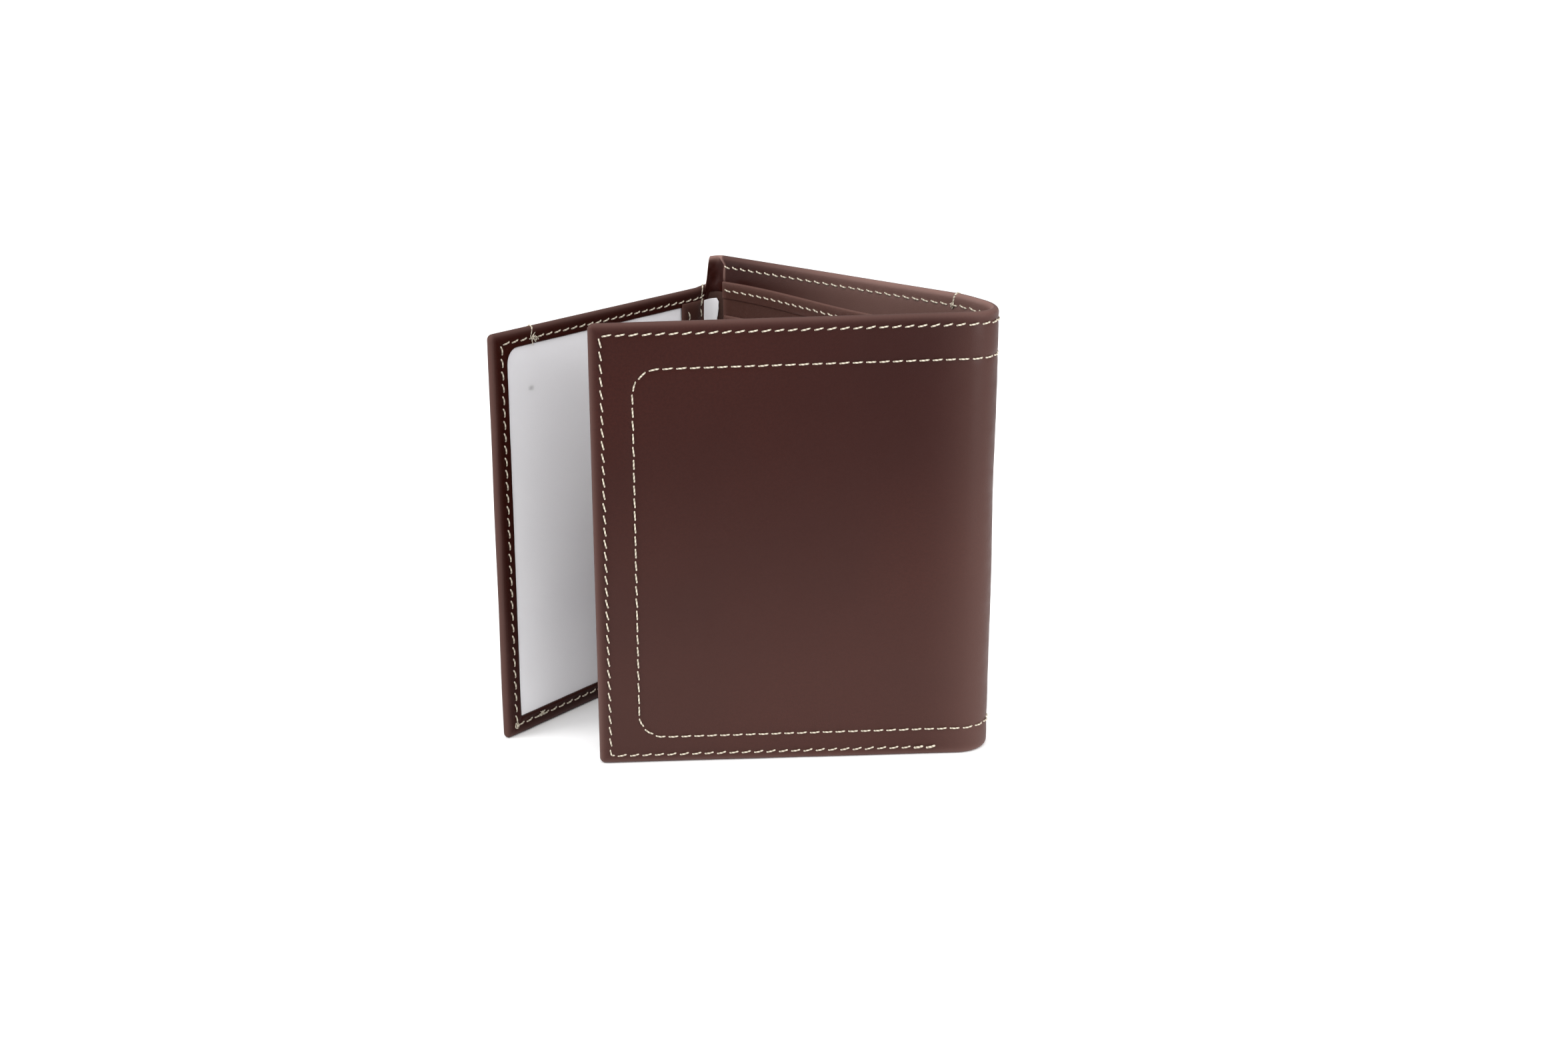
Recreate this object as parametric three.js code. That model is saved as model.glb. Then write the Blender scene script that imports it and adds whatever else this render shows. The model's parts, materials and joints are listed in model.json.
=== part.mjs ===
// Trifold leather wallet, standing half open on its lower edge.
//
// Frame: millimetres, +Z up, z = 0 is the surface that it stands on. The centre panel runs along X
// with its middle at x = 0, its outside looks along +Y and its inside along -Y. The front panel hangs
// on the wide right-hand spine, and the window flap on the narrow left-hand spine.
//
// Every panel is drawn flat in its own group: x runs along the panel, y through it and z up. A group's
// origin is the fold that it turns on, so the four folds are the origins of the four moving groups.

import * as THREE from 'three';

// Driving sizes
const SHELL_HEIGHT = 108;         // outer leather of the centre, the right spine and the front
const INNER_HEIGHT = 101;         // card panels and the window flap, which leave the bills' edge free
const CENTRE_WIDTH = 92;          // from the left fold line to the right fold line
const RIGHT_SPINE = 10.4;         // between the two fold lines of the right spine
const FRONT_WIDTH = 90;           // from the spine's far fold line to the free edge
const LEFT_SPINE = 5;             // between the two fold lines of the left spine
const FLAP_WIDTH = 78.6;          // from the left spine's far fold line to the free edge
const RIGHT_BEND = 66.4;          // degrees at each of the right spine's two folds
const LEFT_BEND = 48.6;           // degrees at each of the left spine's two folds
const CORNER_RADIUS = 2.5;
const HEM_CORNER_RADIUS = 2;

// Thicknesses, and the gap between sheets that lie on each other
const OUTER_LEATHER = 1.2;
const STIFFENER = 0.4;
const LINING = 0.4;
const CARD_PANEL = 0.6;
const POCKET = 0.2;
const FLAP_LEATHER = 1;
const BACKING = 0.25;
const FLAP_HEM = 0.5;
const FILM = 0.2;
const THREAD = 0.4;
const SHEET_GAP = 0.1;
const OUTER_FACE = 0.9;           // how far the shell's outer face stands from the fold lines
const BILL_GAP = 4.25;            // depth of the bill compartment

// How far the sheets stop short of a fold line, so that two panels can close on it
const LEATHER_SETBACK = 1.3;
const LINING_SETBACK = 2.2;
const CARD_SETBACK = 6;

// Seams: distances in from the edges
const EDGE_SEAM = 2.7;
const FOOT_SEAM = 2.1;
const PANEL_SEAM_TOP = 10.7;
const PANEL_SEAM_SIDE = 10.6;
const PANEL_SEAM_FOOT = 6.7;
const PANEL_SEAM_RADIUS = 6;
const BACK_TACK = 9;              // where the foot seam stops before the right spine

// Pockets and hems
const POCKET_STEP = 12.5;
const TOP_POCKET = 92;            // height of the highest pocket's edge
const CENTRE_POCKETS = ['top', 'upper', 'lower', 'bottom'];
const FRONT_POCKETS = ['top', 'bottom'];
const POCKET_FOOT = 1.5;
const TOP_HEM = 9.3;
const FLAP_HEM_WIDTH = 4.3;
const FLAP_STRIP_WIDTH = 5.6;     // leather strip that closes the window beside the fold
const FLAP_STRIP_START = 2.6;
const BACKING_TAIL = 1.2;         // white backing that shows between the strip and the fold
const FLOOR_STRIP_HEIGHT = 4;

const shellLeather = leather(0x4b322c, 0.62);
const innerLeather = leather(0x53413c, 0.66);
const liningLeather = leather(0x4a3a35, 0.78);
const edgePaint = leather(0x8a625a, 0.55);
const stiffening = new THREE.MeshStandardMaterial({ color: 0x8d8577, roughness: 0.9, metalness: 0 });
const cream = new THREE.MeshStandardMaterial({ color: 0xe9e2d3, roughness: 0.7, metalness: 0 });
const whiteVinyl = new THREE.MeshStandardMaterial({ color: 0xd3d3d5, roughness: 0.5, metalness: 0 });
const clearVinyl = new THREE.MeshStandardMaterial({
  color: 0xeeeef0, roughness: 0.25, metalness: 0, transparent: true, opacity: 0.35,
});

function leather(color, roughness) {
  return new THREE.MeshStandardMaterial({ color, roughness, metalness: 0 });
}

// A panel's outline: straight sides, with the corners at its free end (x1) rounded by radius.
function panelOutline(x0, x1, z0, z1, radius = 0) {
  const outline = new THREE.Shape();
  outline.moveTo(x0, z0);
  if (radius > 0) {
    outline.lineTo(x1 - radius, z0);
    outline.absarc(x1 - radius, z0 + radius, radius, -Math.PI / 2, 0);
    outline.absarc(x1 - radius, z1 - radius, radius, 0, Math.PI / 2);
  } else {
    outline.lineTo(x1, z0);
    outline.lineTo(x1, z1);
  }
  outline.lineTo(x0, z1);
  outline.closePath();
  return outline;
}

// A seam: a flat bead along a line with rounded corners, drawn as a closed outline.
function seamOutline(corners, radius = 1) {
  const line = new THREE.Path();
  line.moveTo(...corners[0]);
  for (let i = 1; i < corners.length - 1; i += 1) {
    const corner = new THREE.Vector2(...corners[i]);
    const from = new THREE.Vector2(...corners[i - 1]).sub(corner).setLength(radius).add(corner);
    const to = new THREE.Vector2(...corners[i + 1]).sub(corner).setLength(radius).add(corner);
    line.lineTo(from.x, from.y);
    line.quadraticCurveTo(corner.x, corner.y, to.x, to.y);
  }
  line.lineTo(...corners[corners.length - 1]);
  const points = line.getPoints(5);
  const left = [];
  const right = [];
  points.forEach((point, i) => {
    const before = points[Math.max(i - 1, 0)];
    const after = points[Math.min(i + 1, points.length - 1)];
    const along = after.clone().sub(before).normalize();
    const side = new THREE.Vector2(-along.y, along.x).multiplyScalar(THREAD / 2);
    left.push(point.clone().add(side));
    right.unshift(point.clone().sub(side));
  });
  return new THREE.Shape([...left, ...right]);
}

// A sheet of the given thickness: the outline stands in the panel's x and z, and its faces are at
// y = near and y = near + thickness * away, where away is 1 or -1.
function sheet(name, outline, near, thickness, away, material) {
  const geometry = new THREE.ExtrudeGeometry(outline, {
    depth: thickness, bevelEnabled: false, curveSegments: 5,
  });
  geometry.rotateX(Math.PI / 2);
  geometry.translate(0, away > 0 ? near + thickness : near, 0);
  const mesh = new THREE.Mesh(geometry, material);
  mesh.name = name;
  return mesh;
}

// Lays sheets one behind the other from y = start towards y = start + away, each a gap further.
function stack(start, away, layers) {
  let near = start;
  return layers.map(([name, outline, thickness, material]) => {
    const mesh = sheet(name, outline, near, thickness, away, material);
    near += away * (thickness + SHEET_GAP);
    return mesh;
  });
}

// Card pockets: each lies in front of the one above it and ends a step lower.
function pockets(prefix, places, x0, x1, start) {
  const layers = places.map((place, i) => [
    `${prefix}_card_pocket_${place}`,
    panelOutline(x0, x1, POCKET_FOOT, TOP_POCKET - i * POCKET_STEP),
    POCKET,
    innerLeather,
  ]);
  return stack(start, -1, layers);
}

function group(...meshes) {
  const parts = new THREE.Group();
  parts.add(...meshes.flat());
  return parts;
}

const LEATHER_INSIDE = OUTER_FACE - OUTER_LEATHER;
const LINING_FACE = LEATHER_INSIDE - SHEET_GAP - STIFFENER - SHEET_GAP;
const SHELL_INSIDE = LINING_FACE - LINING;
const THREAD_OUTSIDE = OUTER_FACE + SHEET_GAP;
const SHELL_SEAM = SHELL_HEIGHT - EDGE_SEAM;
const PANEL_SEAM_HEIGHT = SHELL_HEIGHT - PANEL_SEAM_TOP;

// Leather, stiffener, lining and top hem of one panel of the shell.
function shellPanel(prefix, x0, x1, radius) {
  const inner0 = x0 + LINING_SETBACK - LEATHER_SETBACK;
  const inner1 = x1 + (radius > 0 ? -1 : LEATHER_SETBACK - LINING_SETBACK);
  const hemFoot = SHELL_HEIGHT - TOP_HEM;
  const hem = panelOutline(inner0, inner1, hemFoot, SHELL_HEIGHT - 0.4);
  return [
    ...stack(OUTER_FACE, -1, [
      [`${prefix}_outer_leather`, panelOutline(x0, x1, 0, SHELL_HEIGHT, radius), OUTER_LEATHER, shellLeather],
      [`${prefix}_stiffener`, panelOutline(inner0, inner1, 1, hemFoot), STIFFENER, stiffening],
      [`${prefix}_lining`, panelOutline(inner0, inner1, 0.6, hemFoot - SHEET_GAP), LINING, liningLeather],
    ]),
    sheet(`${prefix}_top_hem`, hem, LINING_FACE, LINING, -1, shellLeather),
  ];
}

// Centre panel, with the bill compartment between the shell and the card panel
function centrePanel() {
  const half = CENTRE_WIDTH / 2;
  const x0 = -half + LEATHER_SETBACK;
  const x1 = half - LEATHER_SETBACK;
  const card0 = -half + LINING_SETBACK;
  const card1 = half - CARD_SETBACK;
  const cardFace = SHELL_INSIDE - BILL_GAP;
  const pocketFace = cardFace - CARD_PANEL - SHEET_GAP;
  const floor = panelOutline(card0, card1, 0.4, FLOOR_STRIP_HEIGHT);
  const panelSeam = [
    [x1 - 0.4, PANEL_SEAM_HEIGHT],
    [x0 + PANEL_SEAM_SIDE, PANEL_SEAM_HEIGHT],
    [x0 + PANEL_SEAM_SIDE, PANEL_SEAM_FOOT],
    [x1 - 0.4, PANEL_SEAM_FOOT],
  ];
  const topSeam = seamOutline([[x0 + 0.4, SHELL_SEAM], [x1 - 0.4, SHELL_SEAM]]);
  const footSeam = seamOutline([[x0 + 0.4, FOOT_SEAM], [x1 - BACK_TACK, FOOT_SEAM]]);
  const cardSeamHeight = INNER_HEIGHT - EDGE_SEAM;
  const cardSeam = seamOutline([[card0 + 0.4, cardSeamHeight], [card1 - 0.4, cardSeamHeight]]);
  return group(
    shellPanel('centre', x0, x1, 0),
    sheet('bill_compartment_floor', floor, SHELL_INSIDE - SHEET_GAP, BILL_GAP - 2 * SHEET_GAP, -1, liningLeather),
    sheet('centre_card_panel', panelOutline(card0, card1, 0.4, INNER_HEIGHT), cardFace, CARD_PANEL, -1, innerLeather),
    pockets('centre', CENTRE_POCKETS, card0 + 1, card1 - 1, pocketFace),
    sheet('centre_card_panel_thread', cardSeam, pocketFace, THREAD, -1, cream),
    sheet('centre_top_seam_thread', topSeam, THREAD_OUTSIDE, THREAD, 1, cream),
    sheet('centre_foot_seam_thread', footSeam, THREAD_OUTSIDE, THREAD, 1, cream),
    sheet('centre_panel_seam_thread', seamOutline(panelSeam, PANEL_SEAM_RADIUS), THREAD_OUTSIDE, THREAD, 1, cream),
  );
}

// Right spine: the wide strip that lets the front panel close over the cards and the flap
function rightSpine() {
  const x0 = LEATHER_SETBACK;
  const x1 = RIGHT_SPINE - LEATHER_SETBACK;
  const lining0 = LINING_SETBACK;
  const lining1 = RIGHT_SPINE - LINING_SETBACK;
  const rows = [['top', SHELL_SEAM], ['upper', PANEL_SEAM_HEIGHT], ['lower', PANEL_SEAM_FOOT]];
  return group(
    sheet('right_spine_leather', panelOutline(x0, x1, 0, SHELL_HEIGHT), OUTER_FACE, OUTER_LEATHER, -1, shellLeather),
    sheet('right_spine_lining', panelOutline(lining0, lining1, 0.6, SHELL_HEIGHT - 0.4),
      LEATHER_INSIDE - SHEET_GAP, LINING, -1, liningLeather),
    rows.map(([row, height]) => sheet(`right_spine_${row}_thread`,
      seamOutline([[x0 + 0.4, height], [x1 - 0.4, height]]), THREAD_OUTSIDE, THREAD, 1, cream)),
  );
}

// Front panel, which carries the seams that show on the closed wallet's face
function frontPanel() {
  const x0 = LEATHER_SETBACK;
  const card0 = CARD_SETBACK;
  const card1 = FRONT_WIDTH - 1.5;
  const cardFace = SHELL_INSIDE - SHEET_GAP;
  const pocketFace = cardFace - CARD_PANEL - SHEET_GAP;
  const edgeSeam = [
    [x0 + 0.4, SHELL_SEAM],
    [FRONT_WIDTH - EDGE_SEAM, SHELL_SEAM],
    [FRONT_WIDTH - EDGE_SEAM, FOOT_SEAM],
    [BACK_TACK, FOOT_SEAM],
  ];
  const panelSeam = [
    [x0 + 0.4, PANEL_SEAM_HEIGHT],
    [FRONT_WIDTH - PANEL_SEAM_SIDE, PANEL_SEAM_HEIGHT],
    [FRONT_WIDTH - PANEL_SEAM_SIDE, PANEL_SEAM_FOOT],
    [x0 + 0.4, PANEL_SEAM_FOOT],
  ];
  return group(
    shellPanel('front', x0, FRONT_WIDTH, CORNER_RADIUS),
    sheet('front_card_panel', panelOutline(card0, card1, 0.6, INNER_HEIGHT), cardFace, CARD_PANEL, -1, innerLeather),
    pockets('front', FRONT_POCKETS, card0 + 1, card1 - 1, pocketFace),
    sheet('front_edge_seam_thread', seamOutline(edgeSeam), THREAD_OUTSIDE, THREAD, 1, cream),
    sheet('front_panel_seam_thread', seamOutline(panelSeam, PANEL_SEAM_RADIUS), THREAD_OUTSIDE, THREAD, 1, cream),
  );
}

// Left spine: the top of its leather slopes from the shell's height down to the flap's
function leftSpine() {
  const x0 = LEATHER_SETBACK;
  const x1 = LEFT_SPINE - LEATHER_SETBACK;
  const slope = new THREE.Shape([
    new THREE.Vector2(x0, 0),
    new THREE.Vector2(x1, 0),
    new THREE.Vector2(x1, INNER_HEIGHT + 1),
    new THREE.Vector2(x0, SHELL_HEIGHT - 1),
  ]);
  const liningOutline = panelOutline(x0 + 0.3, x1 - 0.3, 0.6, INNER_HEIGHT);
  return group(
    sheet('left_spine_leather', slope, -OUTER_FACE, OUTER_LEATHER, 1, edgePaint),
    sheet('left_spine_lining', liningOutline, -LEATHER_INSIDE + SHEET_GAP, LINING, 1, liningLeather),
  );
}

// Window flap: leather turned over a white backing as a hem on three sides, with a clear window
function windowFlap() {
  const leatherInside = FLAP_LEATHER / 2;
  const backingFace = leatherInside + SHEET_GAP;
  const hemFace = backingFace + BACKING + SHEET_GAP;
  const hemTop = INNER_HEIGHT - 0.3;
  const hemFoot = 0.3;
  const hemEnd = FLAP_WIDTH - 0.3;
  const hemSide = hemEnd - FLAP_HEM_WIDTH;
  const stripEnd = FLAP_STRIP_START + FLAP_STRIP_WIDTH;
  const tailStart = FLAP_STRIP_START - BACKING_TAIL;
  const windowFoot = hemFoot + FLAP_HEM_WIDTH;
  const windowTop = hemTop - FLAP_HEM_WIDTH;
  const threadFace = hemFace + FLAP_HEM + SHEET_GAP;
  const seam = [
    [FLAP_STRIP_START, INNER_HEIGHT - EDGE_SEAM],
    [FLAP_WIDTH - EDGE_SEAM, INNER_HEIGHT - EDGE_SEAM],
    [FLAP_WIDTH - EDGE_SEAM, EDGE_SEAM],
    [FLAP_STRIP_START, EDGE_SEAM],
  ];
  const hemGap = SHEET_GAP;
  const stripSeams = [['fold', FLAP_STRIP_START + 1.2], ['window', stripEnd - 2.4]];
  return group(
    sheet('flap_outer_leather', panelOutline(LEATHER_SETBACK, FLAP_WIDTH, 0, INNER_HEIGHT, CORNER_RADIUS),
      -leatherInside, FLAP_LEATHER, 1, shellLeather),
    sheet('flap_backing', panelOutline(tailStart, hemEnd - 0.5, 0.8, hemTop - 0.5), backingFace, BACKING, 1, whiteVinyl),
    sheet('flap_window_film', panelOutline(stripEnd + hemGap, hemSide - hemGap, windowFoot + hemGap, windowTop - hemGap),
      hemFace, FILM, 1, clearVinyl),
    sheet('flap_top_hem', panelOutline(FLAP_STRIP_START, hemEnd, windowTop, hemTop, HEM_CORNER_RADIUS),
      hemFace, FLAP_HEM, 1, innerLeather),
    sheet('flap_foot_hem', panelOutline(FLAP_STRIP_START, hemEnd, hemFoot, windowFoot, HEM_CORNER_RADIUS),
      hemFace, FLAP_HEM, 1, innerLeather),
    sheet('flap_end_hem', panelOutline(hemSide, hemEnd, windowFoot + hemGap, windowTop - hemGap),
      hemFace, FLAP_HEM, 1, innerLeather),
    sheet('flap_window_strip', panelOutline(FLAP_STRIP_START, stripEnd, windowFoot + hemGap, windowTop - hemGap),
      hemFace, FLAP_HEM, 1, innerLeather),
    sheet('flap_seam_thread', seamOutline(seam), threadFace, THREAD, 1, cream),
    stripSeams.map(([side, x]) => sheet(`flap_strip_${side}_thread`,
      seamOutline([[x, windowFoot + 1], [x, windowTop - 1]]), threadFace, THREAD, 1, cream)),
  );
}

// The right-hand chain turns towards the inside about -Z at each fold.
const front = frontPanel();
front.position.x = RIGHT_SPINE;
front.rotation.z = THREE.MathUtils.degToRad(-RIGHT_BEND);
const rightChain = rightSpine();
rightChain.add(front);
rightChain.position.x = CENTRE_WIDTH / 2;
rightChain.rotation.z = THREE.MathUtils.degToRad(-RIGHT_BEND);

// The left-hand chain starts by pointing along -X, so the inside is at its +y.
const flap = windowFlap();
flap.position.x = LEFT_SPINE;
flap.rotation.z = THREE.MathUtils.degToRad(LEFT_BEND);
const leftChain = leftSpine();
leftChain.add(flap);
leftChain.position.x = -CENTRE_WIDTH / 2;
leftChain.rotation.z = THREE.MathUtils.degToRad(180 + LEFT_BEND);

const wallet = new THREE.Group();
wallet.add(centrePanel(), rightChain, leftChain);

export default wallet;
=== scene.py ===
"""Trifold leather wallet, standing half open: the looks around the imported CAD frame.

Lengths are millimetres in this script and become metres where a mesh is made. The shell is one strip
of leather, so its points are given along the strip (a, which is x on the centre panel), up it (z) and
through it (d, positive outwards). Strip turns those into the row frame. The studio is in metres.
"""

import json
import math

import bpy
import numpy as np
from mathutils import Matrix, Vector, noise


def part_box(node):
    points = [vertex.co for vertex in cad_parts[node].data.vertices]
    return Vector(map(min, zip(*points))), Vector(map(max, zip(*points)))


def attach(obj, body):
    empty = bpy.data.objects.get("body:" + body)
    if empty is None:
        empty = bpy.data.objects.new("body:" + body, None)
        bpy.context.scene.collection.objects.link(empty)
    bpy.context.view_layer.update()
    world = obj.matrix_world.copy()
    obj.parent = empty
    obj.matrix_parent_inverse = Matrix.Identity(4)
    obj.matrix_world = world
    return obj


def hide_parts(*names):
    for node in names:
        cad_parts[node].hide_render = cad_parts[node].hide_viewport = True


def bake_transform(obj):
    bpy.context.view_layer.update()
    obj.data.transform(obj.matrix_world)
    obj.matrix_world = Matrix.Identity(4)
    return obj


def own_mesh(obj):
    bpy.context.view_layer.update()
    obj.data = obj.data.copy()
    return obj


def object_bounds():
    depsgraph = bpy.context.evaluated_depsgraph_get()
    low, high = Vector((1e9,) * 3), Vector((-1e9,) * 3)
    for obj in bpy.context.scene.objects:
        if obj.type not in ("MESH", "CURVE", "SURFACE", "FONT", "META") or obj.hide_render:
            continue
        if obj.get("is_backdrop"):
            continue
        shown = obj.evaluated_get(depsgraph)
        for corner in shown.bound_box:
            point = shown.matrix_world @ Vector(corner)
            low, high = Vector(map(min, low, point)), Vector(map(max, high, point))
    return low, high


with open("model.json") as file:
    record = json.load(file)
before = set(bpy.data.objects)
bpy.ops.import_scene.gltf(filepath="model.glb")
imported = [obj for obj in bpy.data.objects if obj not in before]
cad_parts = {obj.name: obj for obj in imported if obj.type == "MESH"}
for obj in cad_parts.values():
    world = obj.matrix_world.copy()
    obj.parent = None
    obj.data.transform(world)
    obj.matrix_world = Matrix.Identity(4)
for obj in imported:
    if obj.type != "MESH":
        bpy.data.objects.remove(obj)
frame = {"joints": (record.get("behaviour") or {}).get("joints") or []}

CAD_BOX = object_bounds()
MM = 0.001

# ---------------------------------------------------------------- sizes that follow from the frame


def box_mm(node):
    """Lowest and highest corner of a CAD node, in millimetres."""
    low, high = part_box(node)
    return np.array(low) / MM, np.array(high) / MM


def hinge_mm(name):
    """Plan position of a joint, in millimetres."""
    joint = next(j for j in frame["joints"] if j["name"] == name)
    return np.array(joint["pos_m"][:2]) / MM


CENTRE_HALF, OUTER_FACE, SHELL_HEIGHT = box_mm("centre_outer_leather")[1]
INNER_HEIGHT = box_mm("flap_outer_leather")[1][2]
LINING_FACE = box_mm("centre_lining")[0][1]

# Rows of stitches: distance from the edge, pitch, and the share of the pitch that is thread.
EDGE_SEAM = 2.7
FOOT_SEAM = 2.1
PANEL_SEAM_TOP = 10.7
PANEL_SEAM_SIDE = 9.6
PANEL_SEAM_FOOT = 6.7
PANEL_SEAM_RADIUS = 6.0
BACK_TACK = 9.0
INNER_SEAM = 2.2
EDGE_PITCH = 2.97
PANEL_PITCH = 3.07
EDGE_STITCH = 0.69
PANEL_STITCH = 0.73
THREAD_RADIUS = 0.19
SLANT = 0.105
PANEL_TURN = 0.3

# The shell: how far its parts are out of plumb, its widths, and its faces' distance from its middle.
CORNER_RADIUS = 1.4
TOP_HEM = 9.3
LEAN = 8.0
LEAN_REACH = 88.0
CENTRE_LEAN = 2.6
CENTRE_LEAN_START = 42.0
CENTRE_RISE = 1.1
FRONT_WIDTH = 90.0
FLAP_WIDTH = 78.6
LEATHER_INSIDE = -0.3
HEM_FACE = -1.25
RIM_TURN = 2.2
RIM_WEAR = 0.25
STIFFENER_D = (-0.6, -0.35)
LINING_BACK_D = -0.65
LINING_FACE_D = -1.0

# The flap: its faces, its hems, its window, and the strip and torn tail beside the fold.
FLAP_OUTSIDE = 0.5
FLAP_INSIDE = -0.5
FLAP_HEM_FACE = -1.4
BACKING_D = (-0.8, -0.55)
FILM_D = (-0.98, -0.86)
STRIP_D = (-1.5, -1.0)
FLAP_HEM = 4.3
FLAP_END_HEM = 5.4
FLAP_END_SEAM = 3.4
DROP_START = 2.5
STRIP_START = -2.2
STRIP_END = 7.7
STRIP_SEAMS = (-0.7, 4.9)
BACKING_TAIL = 3.0
TAIL_LIFT = 0.75
SPECK = (65.0, 86.0)
WINDOW_RADIUS = 3.6

# Where loose ends of thread are: along the centre, and from the fold along the flap.
WALL_LOOP = 34.2
FLAP_LOOPS = (64.9, -1.4)
FLAP_TACK = 66.0

# The card panels and their pockets.
CARD_LEFT = -41.4
CARD_RIGHT = 40.0
CARD_BOW = 8.8
CARD_RISE = 2.2
CARD_THICKNESS = 0.6
POCKET_THICKNESS = 0.24
POCKET_GAP = 0.05
POCKET_DROP = 8.7
POCKET_STEP = 12.5
POCKET_HEM = 4.0
PANEL_HEM = 4.4
LIP = 0.3

# Mesh spacing, and the spacing near a seam.
GRID = 0.9
FINE = 0.25


def smooth(t):
    """0 to 1 with a soft start and end."""
    t = np.clip(t, 0, 1)
    return t * t * (3 - 2 * t)


def between(value, low, high):
    """0 below low to 1 above high, softly."""
    return smooth((value - low) / (high - low))


class Strip:
    """Half of the shell's middle line in plan: along the centre, round one spine, along a panel.

    a runs from 0 at the wallet's middle. mirror is -1 for the left-hand half, where a is negative.
    """

    def __init__(self, near_joint, far_joint, mirror, lead, lean=0.0):
        near, far = hinge_mm(near_joint), hinge_mm(far_joint)
        link = far - near
        self.mirror = mirror
        self.lead = lead
        self.lean = lean
        self.half_link = np.linalg.norm(link) / 2
        self.bend = math.atan2(-link[1], mirror * link[0])
        corner = mirror * near[0] + self.half_link / math.cos(self.bend)
        reach = corner - mirror * near[0] + lead
        self.radius = reach / math.tan(self.bend)
        self.start = corner - reach
        self.arc = 2 * self.bend * self.radius
        self.middle = mirror * (self.start + self.arc / 2)
        self.link = link / np.linalg.norm(link)
        self.link_centre = (near + far) / 2
        self.blend_reach = self.half_link + lead * math.cos(self.bend)

    def at_panel(self, u):
        """a of the point of the outer panel that is u past the far fold line."""
        return self.mirror * (self.start + self.arc + u - self.lead)

    def turned(self, a):
        """0 on the centre, 1 where the spine's rounding ends."""
        return smooth((self.mirror * a - self.start) / self.arc)

    def place(self, a, z, d):
        """Row-frame points, in millimetres."""
        a, z, d = np.broadcast_arrays(np.asarray(a, float), z, d)
        s = self.mirror * a - self.start
        turn = np.clip(s / self.radius, 0, 2 * self.bend)
        before = np.minimum(s, 0)
        after = np.maximum(s - self.arc, 0)
        d = d + self.leaning(before, after, turn) * np.clip(z / SHELL_HEIGHT, 0, 1)
        z = z + CENTRE_RISE * self.on_centre(before, turn) * (z / SHELL_HEIGHT) ** 2
        x = self.start + before + (self.radius + d) * np.sin(turn) + after * np.cos(turn)
        y = -self.radius + (self.radius + d) * np.cos(turn) - after * np.sin(turn)
        return np.stack([self.mirror * x, y, z], -1)

    def on_centre(self, before, turn):
        """1 on the centre panel, fading to 0 round the spine: later at the left-hand one."""
        if self.mirror < 0:
            return 1 - smooth(turn / (2 * self.bend))
        return 1 - smooth((turn / self.bend + 1 + before / 8) / 2)

    def leaning(self, before, after, turn):
        """How far the top stands out of plumb: the front's free edge, and the centre beside the left fold."""
        x = self.mirror * (self.start + before)
        fade = 1 if self.mirror > 0 else 1 - smooth(turn / (2 * self.bend))
        front = self.lean * np.clip(after / LEAN_REACH, 0, 1.05)
        return front + CENTRE_LEAN * fade * np.clip((CENTRE_LEAN_START - x) / LEAN_REACH, 0, 1)


RIGHT = Strip("right_fold", "front_fold", 1, 4.0, LEAN)
LEFT = Strip("left_fold", "flap_fold", -1, 0.9)


def bend_right(piece):
    """Bakes the piece's placement into its mesh."""
    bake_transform(piece)


def bend_left(piece):
    """Bakes the piece's placement into its mesh."""
    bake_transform(piece)


# ---------------------------------------------------------------- materials


def linear(r, g, b):
    """sRGB 0-255 to the linear colour that shaders take."""
    parts = [v / 255 for v in (r, g, b)]
    return tuple(v / 12.92 if v <= 0.04 else ((v + 0.055) / 1.055) ** 2.4 for v in parts) + (1,)


class Nodes:
    """Short ways to add and join shader nodes."""

    def __init__(self, name):
        self.material = bpy.data.materials.new(name)
        self.material.use_nodes = True
        self.tree = self.material.node_tree
        self.shader = self.tree.nodes["Principled BSDF"]

    def add(self, kind, **values):
        node = self.tree.nodes.new("ShaderNode" + kind)
        for key, value in values.items():
            if key in node.inputs:
                node.inputs[key].default_value = value
            else:
                setattr(node, key, value)
        return node

    def join(self, output, socket):
        self.tree.links.new(output, socket)

    def coordinates(self):
        return self.add("UVMap", uv_map="Cut").outputs["UV"]

    def noise(self, scale, detail=3.0, roughness=0.5, vector=None):
        node = self.add("TexNoise", Scale=scale, Detail=detail, Roughness=roughness)
        self.join(vector or self.coordinates(), node.inputs["Vector"])
        return node.outputs["Fac"]

    def span(self, value, low, high, to_low=0.0, to_high=1.0):
        node = self.add("MapRange")
        for socket, number in zip((1, 2, 3, 4), (low, high, to_low, to_high)):
            node.inputs[socket].default_value = number
        self.join(value, node.inputs[0])
        return node.outputs[0]

    def mix(self, factor, first, second):
        node = self.add("Mix", data_type="RGBA")
        self.join(factor, node.inputs["Factor"])
        for value, socket in ((first, node.inputs[6]), (second, node.inputs[7])):
            if isinstance(value, tuple):
                socket.default_value = value
            else:
                self.join(value, socket)
        return node.outputs[2]

    def attribute(self, name):
        return self.add("Attribute", attribute_name=name).outputs["Fac"]

    def bump(self, height, strength, distance, before=None):
        node = self.add("Bump", Strength=strength, Distance=distance)
        self.join(height, node.inputs["Height"])
        if before is not None:
            self.join(before, node.inputs["Normal"])
        return node.outputs["Normal"]


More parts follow.
